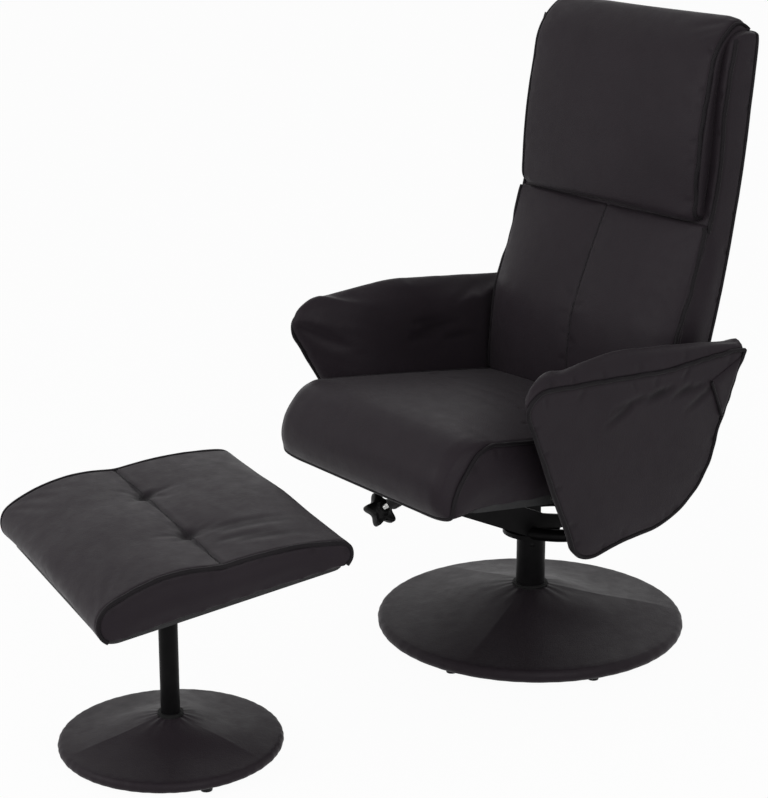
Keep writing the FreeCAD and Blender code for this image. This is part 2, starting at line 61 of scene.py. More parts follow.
def finish(name):
    made = bpy.data.materials.new(name)
    made.use_nodes = True
    return made, made.node_tree, made.node_tree.nodes["Principled BSDF"]


def noise(tree, scale, detail=3.0, rough=0.5):
    coords = node_of(tree, "ShaderNodeTexCoord")
    made = node_of(tree, "ShaderNodeTexNoise", {"Scale": scale, "Detail": detail, "Roughness": rough})
    tree.links.new(coords.outputs["Object"], made.inputs["Vector"])
    return made.outputs["Fac"]


def ramp(tree, source, low, high, start=0.3, end=0.7):
    made = node_of(tree, "ShaderNodeValToRGB")
    first, last = made.color_ramp.elements
    first.position, last.position = start, end
    first.color = (*low, 1.0)
    last.color = (*high, 1.0)
    tree.links.new(source, made.inputs["Fac"])
    return made.outputs["Color"]


def spread(tree, source, low, high):
    made = node_of(tree, "ShaderNodeMapRange",
                   {"From Min": 0.3, "From Max": 0.7, "To Min": low, "To Max": high})
    tree.links.new(source, made.inputs["Value"])
    return made.outputs["Result"]


def bump(tree, height, strength, distance, below=None):
    made = node_of(tree, "ShaderNodeBump", {"Strength": strength, "Distance": distance})
    tree.links.new(height, made.inputs["Height"])
    if below is not None:
        tree.links.new(below, made.inputs["Normal"])
    return made.outputs["Normal"]


def lining_finish():
    made, tree, shader = finish("black_lining")
    fibres = noise(tree, 900.0, 4.0, 0.7)
    tone = ramp(tree, fibres, (0.010, 0.010, 0.011), (0.028, 0.028, 0.029))
    tree.links.new(tone, shader.inputs["Base Color"])
    tree.links.new(spread(tree, noise(tree, 60.0), 0.82, 0.96), shader.inputs["Roughness"])
    tree.links.new(bump(tree, fibres, 0.5, 0.0006), shader.inputs["Normal"])
    return made


def dress(material, *names):
    for name in names:
        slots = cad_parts[name].data.materials
        slots.clear()
        slots.append(material)


black_lining = lining_finish()
dress(black_lining, "base_board", "seat_board", "stool_base_board", "stool_board")
dress(black_lining, "back_core", "arm_board_left", "arm_board_right")


# Leather-wrapped bases
# Each round base is a board with a padded rim roll; one leather cover is drawn from the rim up to the
# column over three ribs, so three ridges run to the column with flatter gores between them.
def leather_finish(name, dark, light, rough_low, rough_high):
    made, tree, shader = finish(name)
    hide = noise(tree, 7.0, 4.0, 0.6)
    tone = ramp(tree, hide, dark, light)
    folds = node_of(tree, "ShaderNodeAttribute", attribute_name="fold")
    shade = node_of(tree, "ShaderNodeMix", {"Factor": 1.0}, data_type="RGBA", blend_type="MULTIPLY")
    # Painted shade: the fold attribute darkens the base colour in creases, down to 0.45; values below the
    # flat 0.5 would lighten it.
    crease_shade = ramp(tree, folds.outputs["Fac"], (1.25, 1.22, 1.25), (0.45, 0.45, 0.46), 0.25, 0.80)
    crease_shade.node.color_ramp.elements.new(0.5).color = (1.0, 1.0, 1.0, 1.0)
    tree.links.new(tone, shade.inputs["A"])
    tree.links.new(crease_shade, shade.inputs["B"])
    tree.links.new(shade.outputs["Result"], shader.inputs["Base Color"])
    gloss = spread(tree, noise(tree, 38.0, 4.0, 0.65), rough_low, rough_high)
    tree.links.new(gloss, shader.inputs["Roughness"])

    coords = node_of(tree, "ShaderNodeTexCoord")
    pebbles = node_of(tree, "ShaderNodeTexVoronoi", {"Scale": 520.0, "Smoothness": 0.35}, feature="SMOOTH_F1")
    tree.links.new(coords.outputs["Object"], pebbles.inputs["Vector"])
    rounded = node_of(tree, "ShaderNodeMath", {1: -1.0, 2: 1.0}, operation="MULTIPLY_ADD")
    tree.links.new(pebbles.outputs["Distance"], rounded.inputs[0])
    grain = bump(tree, rounded.outputs["Value"], 0.35, 0.0005)
    creased = bump(tree, noise(tree, 130.0, 5.0, 0.6), 0.16, 0.0012, grain)
    slack = bump(tree, noise(tree, 22.0, 2.0, 0.5), 0.06, 0.004, creased)
    tree.links.new(slack, shader.inputs["Normal"])
    for key, value in (("Specular IOR Level", 0.085), ("Sheen Weight", 0.03), ("Sheen Roughness", 0.45)):
        shader.inputs[key].default_value = value
    return made


black_leather = leather_finish("black_leather", (0.0165, 0.0126, 0.0158), (0.0205, 0.0160, 0.0197),
                               0.42, 0.54)


def mesh_piece(name, points, faces, material):
    mesh = bpy.data.meshes.new(name)
    mesh.from_pydata([tuple(p) for p in points], [], faces)
    made = bpy.data.objects.new(name, mesh)
    scene.collection.objects.link(made)
    mesh.materials.append(material)
    work = bmesh.new()
    work.from_mesh(mesh)
    bmesh.ops.recalc_face_normals(work, faces=work.faces)
    work.to_mesh(mesh)
    work.free()
    mesh.shade_smooth()
    return made


def ring_faces(rings, count, closed=False):
    # Quads between rings of points that follow one another, the last joined to the first if closed.
    faces = []
    for i in range(rings if closed else rings - 1):
        j = (i + 1) % rings
        for k in range(count):
            n = (k + 1) % count
            faces.append((i * count + k, i * count + n, j * count + n, j * count + k))
    return faces


def end_faces(rings, count):
    return [tuple(range(count)), tuple(reversed(range((rings - 1) * count, rings * count)))]


def flat_fold(piece):
    # Marks a piece as free of folds, so no painted crease shade darkens its leather colour.
    store = piece.data.attributes.new("fold", "FLOAT", "POINT")
    store.data.foreach_set("value", np.full(len(piece.data.vertices), 0.5, np.float32))
    return piece


def ridge_dip(theta, first):
    # 0 on a ridge, 1 half way between two ridges, rising quickly beside the ridge.
    away = np.abs((theta - first + np.pi / 3) % (2 * np.pi / 3) - np.pi / 3)
    return np.sin(np.clip(away / (np.pi / 3), 0, 1) * np.pi / 2) ** 0.75


def wrapped_base(name, middle, rim_r, rim_thick, apex, column_r, first_ridge, turn):
    foot_height = 0.010
    sag = 0.22
    half = rim_thick / 2
    meet = math.radians(76)
    foot_r, foot_z = rim_r - half + half * math.cos(meet), foot_height + half + half * math.sin(meet)
    top_r = column_r + 0.003
    theta = np.linspace(0, 2 * np.pi, 300, endpoint=False)
    first = math.radians(first_ridge + turn)
    dip = ridge_dip(theta, first)
    slack = np.random.default_rng(5).uniform(0, 2 * np.pi, 6)

    def ring(t, drop):
        r = foot_r + (top_r - foot_r) * t
        belly = max(0.0, math.sin(math.pi * min(1.0, t * 1.04))) ** 0.9
        pleat = 0.0006 * max(0.0, t - 0.6) * sum(np.cos((9 + 4 * k) * theta + slack[k]) for k in range(3))
        wave = 0.0007 * belly * sum(np.sin((2 + k) * theta + slack[k] + 5 * t) for k in range(3))
        radius = r * (1 - sag * belly * dip)
        height = foot_z + (apex - foot_z) * t + wave - drop + pleat
        return np.stack([radius * np.cos(theta), radius * np.sin(theta), height], 1)

    def roll(angle, grow):
        radius = rim_r - half + (half + grow) * math.cos(angle)
        height = foot_height + half + (half + grow) * math.sin(angle)
        pucker = 0.0002 * sum(np.cos((31 + 17 * k) * theta + slack[k + 3]) for k in range(3))
        return np.stack([(radius + pucker) * np.cos(theta), (radius + pucker) * np.sin(theta),
                         np.full_like(theta, height)], 1)

    rings = [ring(t, 0.0) for t in np.linspace(1.0, 0.0, 42)]
    rings += [roll(math.radians(a), 0.0) for a in np.linspace(68, -84, 20)]
    rings.append(roll(math.radians(-90), -0.001))
    rings += [ring(t, 0.0026) for t in np.linspace(0.03, 0.985, 30)]
    points = np.concatenate(rings) + np.array([*middle, 0.0])
    return flat_fold(mesh_piece(name, points, ring_faces(len(rings), len(theta), closed=True), black_leather))


chair_axis = Vector((0.0, 0.365, 0.0))
stool_axis = Vector((0.038, -0.397, 0.0))
stool_turn = -11.5
base_wrap = wrapped_base("base_wrap", (chair_axis.x, chair_axis.y), 0.267, 0.024, 0.086, 0.025, 55, 0)
stool_base_wrap = wrapped_base("stool_base_wrap", (stool_axis.x, stool_axis.y), 0.174, 0.018, 0.062, 0.015,
                               33, stool_turn)
for wrap, body, nodes in ((base_wrap, "chair_base", ("base_rim", "base_cover")),
                          (stool_base_wrap, "footstool", ("stool_base_rim", "stool_base_cover"))):
    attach(wrap, body)
    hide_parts(*nodes)


# Glides, bushes and collars
# Moulded black plastic feet under the rims, plastic bushes in the column and pivot, plastic spacers that hold
# the arms off the seat, and rubber collars that cover the cut edge of the leather round each column.
def hard_finish(name, dark, light, rough, pits, grains, key, value):
    # Two tones, a range of roughness, the strength and depth of pits, a noise for each, and one more input.
    made, tree, shader = finish(name)
    tone, gloss, relief = [noise(tree, *grain) for grain in grains]
    tree.links.new(ramp(tree, tone, dark, light), shader.inputs["Base Color"])
    tree.links.new(spread(tree, gloss, *rough), shader.inputs["Roughness"])
    tree.links.new(bump(tree, relief, *pits), shader.inputs["Normal"])
    shader.inputs[key].default_value = value
    return made


def moulded_finish(name, dark, light, rough, pit):
    grains = ((45.0, 4.0), (160.0, 3.0), (1600.0, 2.0))
    return hard_finish(name, dark, light, rough, (0.25, pit), grains, "Specular IOR Level", 0.14)


black_plastic = moulded_finish("black_plastic", (0.0035, 0.0034, 0.0036), (0.0075, 0.0073, 0.0076),
                               (0.38, 0.50), 0.0002)
black_rubber = moulded_finish("black_rubber", (0.008, 0.008, 0.008), (0.016, 0.016, 0.016),
                              (0.62, 0.80), 0.0003)
dress(black_plastic, "base_glides", "stool_base_glides", "lower_bush", "upper_bush", "pivot_bushes",
      "arm_spacers")
dress(black_rubber, "base_collar", "stool_base_collar", "stop_pads")


# Columns and under-seat steel
# Welded steel tube and bent sheet, powder coated satin black, with the coat rubbed thin in places;
# bolts, pins and the screw are zinc plated.
black_steel = hard_finish("satin_black_steel", (0.0030, 0.0028, 0.0031), (0.0060, 0.0056, 0.0061),
                          (0.30, 0.44), (0.18, 0.0002), ((26.0, 5.0), (70.0, 4.0), (700.0, 3.0)),
                          "Specular IOR Level", 0.06)
zinc_steel = hard_finish("zinc_plate", (0.46, 0.46, 0.45), (0.66, 0.66, 0.64), (0.22, 0.42),
                         (0.12, 0.0002), ((120.0, 4.0), (300.0, 4.0), (900.0, 3.0)), "Metallic", 1.0)
dress(black_steel, "column_tube", "stool_column", "carrier_hub", "carrier_channel", "carrier_loop",
      "lock_bracket", "tilt_bracket", "brake_cone", "back_angles", "stool_plate", "base_flange",
      "stool_base_flange", "base_ribs", "stool_base_ribs")
dress(zinc_steel, "swivel_spindle", "spindle_clip", "recline_pin", "pin_collar", "bracket_screws",
      "angle_bolts", "arm_bolts", "base_bolts", "stool_base_bolts", "stool_screws")


# Lock knob and screw
# Five-lobed moulded knob on a plated rolled-thread screw that stands out under the sitter's right side;
# turning it in clamps the recline.
screw_low, screw_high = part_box("lock_screw")
lock_rise = math.radians(33)
screw_line = Vector((math.cos(lock_rise), 0.0, math.sin(lock_rise)))
screw_across = Vector((-math.sin(lock_rise), 0.0, math.cos(lock_rise)))
screw_side = Vector((0.0, 1.0, 0.0))
screw_r = 0.005
screw_tip = Vector((screw_high.x - screw_r * math.sin(lock_rise), (screw_low.y + screw_high.y) / 2,
                    screw_high.z - screw_r * math.cos(lock_rise)))


def lathed(name, middle, rings, material):
    # Rings of (distance along the screw, radius at each angle) closed at both ends.
    count = len(rings[0][1])
    theta = np.linspace(0, 2 * np.pi, count, endpoint=False)
    points = []
    for along, radius in rings:
        for k in range(count):
            aside = screw_side * (radius[k] * math.cos(theta[k]))
            above = screw_across * (radius[k] * math.sin(theta[k]))
            points.append(middle + screw_line * along + aside + above)
    return mesh_piece(name, points, end_faces(len(rings), count) + ring_faces(len(rings), count), material)


thread_pitch = 0.0016
screw_length = 0.0957
steps = np.arange(0, screw_length, thread_pitch / 5)
around = np.linspace(0, 2 * np.pi, 28, endpoint=False)
thread = [(-s, screw_r - 0.0003 + 0.0003 * np.cos(around + 2 * np.pi * s / thread_pitch)) for s in steps]
lock_screw = lathed("threaded_screw", screw_tip, thread, zinc_steel)

knob_middle = screw_tip - screw_line * 0.0917
angles = np.linspace(0, 2 * np.pi, 160, endpoint=False)
lobes = 0.0252 + 0.0056 * np.cos(5 * (angles - math.radians(90))) - 0.0008 * np.cos(10 * angles)
knob_rings = []
for along, grow in ((-0.0080, -0.012), (-0.0080, -0.0035), (-0.0072, -0.0012), (-0.0050, 0.0), (0.0040, 0.0),
                    (0.0066, -0.0010), (0.0078, -0.0032), (0.0082, -0.0062)):
    knob_rings.append((along, lobes + grow))
for along, radius in ((0.0090, 0.0135), (0.0150, 0.0112), (0.0160, 0.0100), (0.0160, 0.0052)):
    knob_rings.append((along, np.full(len(angles), radius)))
star_knob = lathed("star_grip", knob_middle, knob_rings, black_plastic)
for piece, node, slot in ((lock_screw, "lock_screw", "zinc_steel"),
                          (star_knob, "star_knob", "black_plastic")):
    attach(piece, "lock_knob")
    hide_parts(node)


# Seat cushion
# Foam block with a waterfall front under one leather panel that wraps over top and front; a side panel is
# sewn to it at each end, with a welt cord of the same leather in the seam, and the cover is stapled below.
def arc_points(start, middle, end, count):
    (ax, ay), (mx, my), (bx, by) = start, middle, end
    flat = 2 * (ax * (my - by) + mx * (by - ay) + bx * (ay - my))
    if abs(flat) < 1e-6:
        return [(ax + (bx - ax) * k / count, ay + (by - ay) * k / count) for k in range(1, count + 1)]
    a2, m2, b2 = ax * ax + ay * ay, mx * mx + my * my, bx * bx + by * by
    cx = (a2 * (my - by) + m2 * (by - ay) + b2 * (ay - my)) / flat
    cy = (a2 * (bx - mx) + m2 * (ax - bx) + b2 * (mx - ax)) / flat
    first = math.atan2(ay - cy, ax - cx)
    turn = (math.atan2(by - cy, bx - cx) - first) % (2 * math.pi)
    if (math.atan2(my - cy, mx - cx) - first) % (2 * math.pi) > turn:
        turn -= 2 * math.pi
    radius = math.hypot(ax - cx, ay - cy)
    angles = [first + turn * k / count for k in range(1, count + 1)]
    return [(cx + radius * math.cos(angle), cy + radius * math.sin(angle)) for angle in angles]


def walk(line):
    return np.concatenate([[0], np.cumsum(np.linalg.norm(np.diff(line, axis=0), axis=1))])


def spaced(line, walked, count, closed):
    at = np.linspace(0, walked[-1], count, endpoint=not closed)
    return np.stack([np.interp(at, walked, column) for column in line.T], 1)


def traced(steps, count, closed=True):
    # Evenly spaced points along lines and arcs; a step that is a pair is an arc through its first point.
    line = [steps[0]]
    for step in list(steps[1:]) + ([steps[0]] if closed else []):
        if isinstance(step[0], tuple):
            line += arc_points(line[-1], step[0], step[1], 24)
        else:
            line += arc_points(line[-1], line[-1], step, 24)
    line = np.array(line, float)
    return spaced(line, walk(line), count, closed)


def baked(piece):
    # Replaces a piece's mesh by what its modifiers make of it.
    graph = bpy.context.evaluated_depsgraph_get()
    made = bpy.data.meshes.new_from_object(piece.evaluated_get(graph), depsgraph=graph)
    piece.modifiers.clear()
    piece.data = made
    made.shade_smooth()
    return piece


def coords_of(piece, what="co"):
    found = np.zeros(len(piece.data.vertices) * 3, np.float32)
    piece.data.vertices.foreach_get(what, found)
    return found.reshape(-1, 3).astype(float)


def moved_to(piece, points):
    piece.data.vertices.foreach_set("co", points.astype(np.float32).ravel())
    piece.data.update()


chunk = 4000


def nearness(points, line, reach):
    # Distance from each point to a line of close points, and which of them is nearest; inf beyond reach.
    away = np.full(len(points), np.inf)
    which = np.zeros(len(points), int)
    low, high = line.min(0) - reach, line.max(0) + reach
    inside = np.where(np.all((points > low) & (points < high), axis=1))[0]
    for start in range(0, len(inside), chunk):
        part = inside[start:start + chunk]
        gaps = ((points[part][:, None, :] - line[None, :, :]) ** 2).sum(2)
        which[part] = gaps.argmin(1)
        away[part] = np.sqrt(gaps.min(1))
    return away, which


cover_frames = 20


def upholstered(name, sections, seams, inset=0.004, swell=0.014, voxel=0.006, pressure=4.0):
    # A closed form through the sections, remeshed, drawn in a little, then blown up between its held seams.
    count = len(sections[0])
    faces = end_faces(len(sections), count) + ring_faces(len(sections), count)
    piece = mesh_piece(name, np.concatenate(sections), faces, black_leather)
    remesh = piece.modifiers.new("foam", "REMESH")
    remesh.mode = "VOXEL"
    remesh.voxel_size = voxel
    baked(piece)
    start = coords_of(piece) - coords_of(piece, "normal") * inset
    moved_to(piece, start)
    held = piece.vertex_groups.new(name="sewn")
    tight = np.zeros(len(start))
    for seam in seams:
        away, _ = nearness(start, seam, 0.03)
        tight = np.maximum(tight, np.clip(1 - (away - 0.008) / 0.012, 0, 1))
    for index in np.where(tight > 0.02)[0]:
        held.add([int(index)], float(tight[index]), "REPLACE")
    cover = piece.modifiers.new("cover", "CLOTH")
    settings = cover.settings
    settings.quality = 4
    settings.mass = 0.3
    settings.tension_stiffness = 12
    settings.compression_stiffness = 12
    settings.shear_stiffness = 4
    settings.bending_stiffness = 1.5
    settings.use_pressure = True
    settings.uniform_pressure_force = pressure
    settings.effector_weights.gravity = 0
    settings.vertex_group_mass = "sewn"
    settings.pin_stiffness = 2
    cover.collision_settings.use_collision = False
    for number in range(1, cover_frames + 1):
        scene.frame_set(number)
    baked(piece)
    scene.frame_set(1)
    step = coords_of(piece) - start
    length = np.linalg.norm(step, axis=1, keepdims=True)
    moved_to(piece, start + step * swell * np.tanh(length / swell) / np.maximum(length, 1e-9))
    piece.vertex_groups.clear()
    smoother = piece.modifiers.new("even", "SMOOTH")
    smoother.factor = 0.5
    smoother.iterations = 4
    finer = piece.modifiers.new("finer", "SUBSURF")
    finer.levels = 1
    finer.render_levels = 1
    return baked(piece)


def surface_of(piece):
    corners = [v.co.copy() for v in piece.data.vertices]
    return BVHTree.FromPolygons(corners, [tuple(p.vertices) for p in piece.data.polygons])


def laid_on(surface, line, lift):
    # Moves each point of a line to the nearest spot of a surface and lifts it off by a little.
    spots, sides = [], []
    for p in line:
        spot, side, _, _ = surface.find_nearest(Vector(p))
        spots.append(np.array(spot))
        sides.append(np.array(side))
    sides = np.array(sides)
    for _ in range(4):
        sides = (sides + np.roll(sides, 1, 0) + np.roll(sides, -1, 0)) / 3
    sides /= np.linalg.norm(sides, axis=1, keepdims=True)
    return np.array(spots) + sides * lift, sides


def even_line(line, spacing, closed=False):
    line = np.array(line, float)
    if closed:
        line = np.vstack([line, line[:1]])
    walked = walk(line)
    return spaced(line, walked, max(3, int(walked[-1] / spacing)), closed)


seam_step, mark_step = 0.004, 0.003
groove_width = 0.0046


def gathers(surface, line, spacing, reach, depth, seed, closed=False, side=1):
    # Short puckers that run away from a sewn line, uneven in place, length and depth.
    chance = np.random.default_rng(seed)
    line = even_line(line, seam_step, closed)
    spots, sides = laid_on(surface, line, 0.0)
    marks = []
    here = 3 + int(chance.uniform(0, spacing / seam_step))
    while here < len(line) - 4:
        along = spots[here + 2] - spots[here - 2]
        along /= max(np.linalg.norm(along), 1e-9)
        out = np.cross(sides[here], along) * side
        out += along * chance.uniform(-0.7, 0.7)
        out /= np.linalg.norm(out)
        length = reach * chance.uniform(0.45, 1.0)
        start = spots[here] + out * 0.005
        ends = laid_on(surface, even_line([start, start + out * length], 0.002), 0.0)[0]
        marks.append((ends, 0.0055 * chance.uniform(0.8, 1.5), depth * chance.uniform(0.4, 1.0)))
        here += 2 + int(chance.uniform(0.5, 1.6) * spacing / seam_step)
    return marks


def paired_gathers(surface, lines, spacing, reach, depth, seed):
    first = gathers(surface, lines[0], spacing, reach, depth, seed)
    return first + gathers(surface, lines[1], spacing, reach, depth, seed + 1, side=-1)


def mark_on(surface, ends, width, depth, closed=False):
    # One mark for creased: a line laid on the surface, with its width and depth.
    return laid_on(surface, even_line(ends, mark_step, closed), 0.0)[0], width, depth


def creased(piece, marks, plain=()):
    # Presses marks into a piece: (line, width, depth), deepest in the first half and dying out along it.
    # A plain mark keeps its depth all along. The depth is kept as the fold attribute, which paints shade into
    # the leather's colour in the creases.
    points = coords_of(piece)
    normals = coords_of(piece, "normal")
    push = np.zeros(len(points))
    fold = np.zeros(len(points))
    for number, (line, width, depth) in enumerate(list(marks) + list(plain)):
        away, which = nearness(points, line, width * 4)
        near = np.isfinite(away)
        share = which[near] / max(1, len(line) - 1)
        fade = np.sin(np.pi * share ** 0.7)
        if number >= len(marks):
            fade = np.ones_like(share)
        q = (away[near] / width) ** 2
        shape = (1 - 0.55 * q) * np.exp(-q * 0.75)
        push[near] -= depth * fade * shape
        fold[near] += np.clip(depth / 0.004, 0.1, 1.0) * fade * np.exp(-q * 1.6)
    moved_to(piece, points + normals * push[:, None])
    store = piece.data.attributes.new("fold", "FLOAT", "POINT")
    store.data.foreach_set("value", np.clip(0.5 + 0.38 * fold, 0, 1).astype(np.float32))
    return piece


def line_tree(name, *labels):
    # Starts a tree that works on a line: its input node, and what each number it takes is known by.
    tree = bpy.data.node_groups.new(name, "GeometryNodeTree")
    tree.interface.new_socket("Geometry", in_out="INPUT", socket_type="NodeSocketGeometry")
    names = {}
    for label in labels:
        socket = tree.interface.new_socket(label, in_out="INPUT", socket_type="NodeSocketFloat")
        names[label] = socket.identifier
    tree.interface.new_socket("Geometry", in_out="OUTPUT", socket_type="NodeSocketGeometry")
    return tree, node_of(tree, "NodeGroupInput"), names


def real_end(tree, geometry, material):
    # Ends a tree: instances made real, the material set, and the result put out.
    real = node_of(tree, "GeometryNodeRealizeInstances")
    paint = node_of(tree, "GeometryNodeSetMaterial", {"Material": material})
    sink = node_of(tree, "NodeGroupOutput")
    tree.links.new(geometry, real.inputs["Geometry"])
    tree.links.new(real.outputs["Geometry"], paint.inputs["Geometry"])
    tree.links.new(paint.outputs["Geometry"], sink.inputs["Geometry"])


def cord_tree(name, material):
    # Geometry nodes: a round cord of the given radius along a line.
    tree, source, names = line_tree(name, "Radius")
    ring = node_of(tree, "GeometryNodeCurvePrimitiveCircle", {"Resolution": 10})
    sweep = node_of(tree, "GeometryNodeCurveToMesh", {"Fill Caps": True})
    smooth = node_of(tree, "GeometryNodeSetShadeSmooth")
    tree.links.new(source.outputs["Radius"], ring.inputs["Radius"])
    tree.links.new(source.outputs["Geometry"], sweep.inputs["Curve"])
    tree.links.new(ring.outputs["Curve"], sweep.inputs["Profile Curve"])
    tree.links.new(sweep.outputs["Mesh"], smooth.inputs["Geometry"])
    real_end(tree, smooth.outputs["Geometry"], material)
    return tree, names


def along_lines(name, lines, tree, sizes, material, closed=False):
    # Runs a node tree along lines and keeps the result as one plain mesh.
    curve = bpy.data.curves.new(name, "CURVE")
    curve.dimensions = "3D"
    for line in lines:
        spline = curve.splines.new("POLY")
        spline.points.add(len(line) - 1)
        rows = np.hstack([line, np.ones((len(line), 1))])
        spline.points.foreach_set("co", rows.astype(np.float32).ravel())
        spline.use_cyclic_u = closed
    holder = bpy.data.objects.new(name + "_line", curve)
    scene.collection.objects.link(holder)
    nodes = holder.modifiers.new("nodes", "NODES")
    nodes.node_group = tree
    for key, value in sizes.items():
        nodes[key] = value
    graph = bpy.context.evaluated_depsgraph_get()
    mesh = bpy.data.meshes.new_from_object(holder.evaluated_get(graph), depsgraph=graph)
    bpy.data.objects.remove(holder)
    mesh.name = name
    made = bpy.data.objects.new(name, mesh)
    scene.collection.objects.link(made)
    if not mesh.materials:
        mesh.materials.append(material)
    return made


# Painted shade: the welt is the same leather as the panels, with a darker colour so that it reads as the
# shadow line along each seam.
shaded_welt_leather = leather_finish("shaded_welt_leather", (0.0070, 0.0058, 0.0070), (0.0115, 0.0098, 0.0115),
                              0.50, 0.60)
welt_tree, welt_inputs = cord_tree("welt_cord", shaded_welt_leather)
welt_r = 0.0033


def eased(line, rounds, closed):
    # Evens out a line that was laid on a surface, ends kept.
    for _ in range(rounds):
        middle = (np.roll(line, 1, 0) + 2 * line + np.roll(line, -1, 0)) / 4
        if not closed:
            middle[0], middle[-1] = line[0], line[-1]
        line = middle
    return line


def welted(name, surface, lines, body, closed=False, radius=welt_r):
    laid = [laid_on(surface, even_line(line, seam_step, closed), radius * 0.55)[0] for line in lines]
    laid = [eased(line, 8, closed) for line in laid]
    sizes = {welt_inputs["Radius"]: radius}
    made = flat_fold(along_lines(name, laid, welt_tree, sizes, shaded_welt_leather, closed))
    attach(made, body)
    return made


def side_view(points, x):
    points = np.asarray(points, float)
    return points, np.full(len(points), x) if np.isscalar(x) else np.asarray(x, float)


def chair_place(points, x):
    # From the chair's side view in mm to the row frame in metres.
    points, across = side_view(points, x)
    return np.stack([across, points[:, 0] + chair_axis.y * 1000, points[:, 1]], 1) / 1000


seat_half, seat_lip = 236, 12
seat_tilt = math.radians(6.5)
board_front, board_height = -350, 349


def seat_view(points):
    # From the seat's own side view to the chair's: tipped back about the front edge of the board.
    points = np.asarray(points, float)
    back = board_front + points[:, 0] * math.cos(seat_tilt) + points[:, 1] * math.sin(seat_tilt)
    up = board_height - points[:, 0] * math.sin(seat_tilt) + points[:, 1] * math.cos(seat_tilt)
    return np.stack([back, up], 1)


def seat_outline(draw, crown, bulge, floor=3):
    # The front slants at the ends (bulge 0), and swells forward and hangs a lip between them (bulge 1).
    top = 117 - draw + crown
    return [(-16 + draw, -4 - seat_lip * bulge),
            ((-5 - 37 * bulge + draw, 37 - 5 * bulge), (16 - 42 * bulge + draw, 74 + 12 * bulge - draw / 2)),
            ((33 - 31 * bulge + draw, 101 + (11 + crown / 2) * bulge - draw * 0.7), (60 + draw, top)),
            ((240, top + crown * 0.3), (438, top - 2 - crown * 0.5)), (426, floor), (44, floor)]


def both_ways(steps, middle):
    return [(-s[0], *s[1:]) for s in steps] + middle + [tuple(s) for s in reversed(steps)]


# Each row is a place across the seat, the draw-in of the outline there, its crown and its bulge.
seat_steps = ((seat_half, 8, 0, 0.15), (232, 3, 0, 0.3), (222, 0, 1, 0.7), (200, 0, 3, 0.95),
              (165, 0, 5, 1), (90, 0, 9, 1))
seat_rows = both_ways(seat_steps, [(0, 0, 11, 1)])
seat_sections = [chair_place(seat_view(traced(seat_outline(draw, crown, bulge), 150)), x)
                 for x, draw, crown, bulge in seat_rows]
seat_edge = traced(seat_outline(4, 0, 0.2)[:-2], 110, closed=False)
seat_left = chair_place(seat_view(seat_edge), seat_half - 5)
seat_right = chair_place(seat_view(seat_edge), -(seat_half - 5))
lip_x = np.linspace(seat_half - 6, 6 - seat_half, 90)
lip_bulge = np.interp(np.abs(lip_x), [step[0] for step in reversed(seat_steps)],
                      [step[3] for step in reversed(seat_steps)])
lip_edge = seat_view(np.stack([np.full(90, -14.0), -3 - seat_lip * lip_bulge], 1))
seat_welt_line = np.vstack([seat_left[::-1], chair_place(lip_edge, lip_x), seat_right])
seat_cushion = upholstered("seat_leather", seat_sections, [seat_welt_line])
seat_surface = surface_of(seat_cushion)
seat_marks = gathers(seat_surface, seat_left, 0.05, 0.034, 0.0016, 11, side=-1)
seat_marks += gathers(seat_surface, seat_right, 0.05, 0.034, 0.0016, 12)
chance = np.random.default_rng(3)
for number in range(9):
    x = chance.uniform(0.09, 0.20) * (1 if number % 3 else -1)
    back = chance.uniform(150, 330)
    start = chair_place(seat_view([(back, 122)]), x * 1000)[0]
    way = np.array([chance.uniform(-0.05, 0.05), chance.uniform(-0.02, 0.05), 0.0])
    seat_marks.append(mark_on(seat_surface, [start, start + way], 0.006, 0.0014))
creased(seat_cushion, seat_marks, [mark_on(seat_surface, seat_welt_line, groove_width, 0.0024)])
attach(seat_cushion, "seat_and_back")
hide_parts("seat_cushion")
welted("seat_welt", surface_of(seat_cushion), [seat_welt_line], "seat_and_back")


# Back
# A bent slab with side panels sewn in between a front and a rear welt; the lower padding is one panel with a
# sewn centre line, and a soft head pillow hangs over the top edge, gathered where its ends are closed.
def shell_outline(draw):
    return [(92 + draw, 300 + draw), ((92 + draw, 400), (100 + draw, 500)),
            ((115 + draw, 600), (150 + draw, 690)), ((172 + draw, 780), (184 + draw, 900)),
            ((192 + draw, 980), (206 + draw, 1044 - draw)), ((238, 1056 - draw), (266 - draw, 1050 - draw)),
            ((262 - draw, 1000), (254 - draw, 930)), ((243 - draw, 830), (228 - draw, 740)),
            ((204 - draw, 620), (178 - draw, 520)), ((160 - draw, 410), (154 - draw, 300 + draw))]


def pad_outline(full, trim):
    return [(100, 402 + trim), ((110, 500), (122, 580)), ((140, 640), (176, 748 - trim)),
            (158 - full * 0.2, 746 - trim), ((128 - full * 0.9, 645), (101 - full, 570)),
            ((91 - full, 490), (87 - full * 0.6, 406 + trim))]


def head_outline(full, trim):
    return [(180, 738 + trim), ((200, 900), (216, 1036 - trim)), ((232, 1052 - trim), (262, 1058 - trim)),
            ((248, 1074 - trim + full * 0.15), (216, 1070 - trim)),
            ((184 - full * 0.4, 1034 - trim), (174 - full, 985 - trim)),
            ((155 - full, 860), (150 - full * 0.8, 766 + trim)),
            ((151 - full * 0.5, 745 + trim), (164, 737 + trim))]


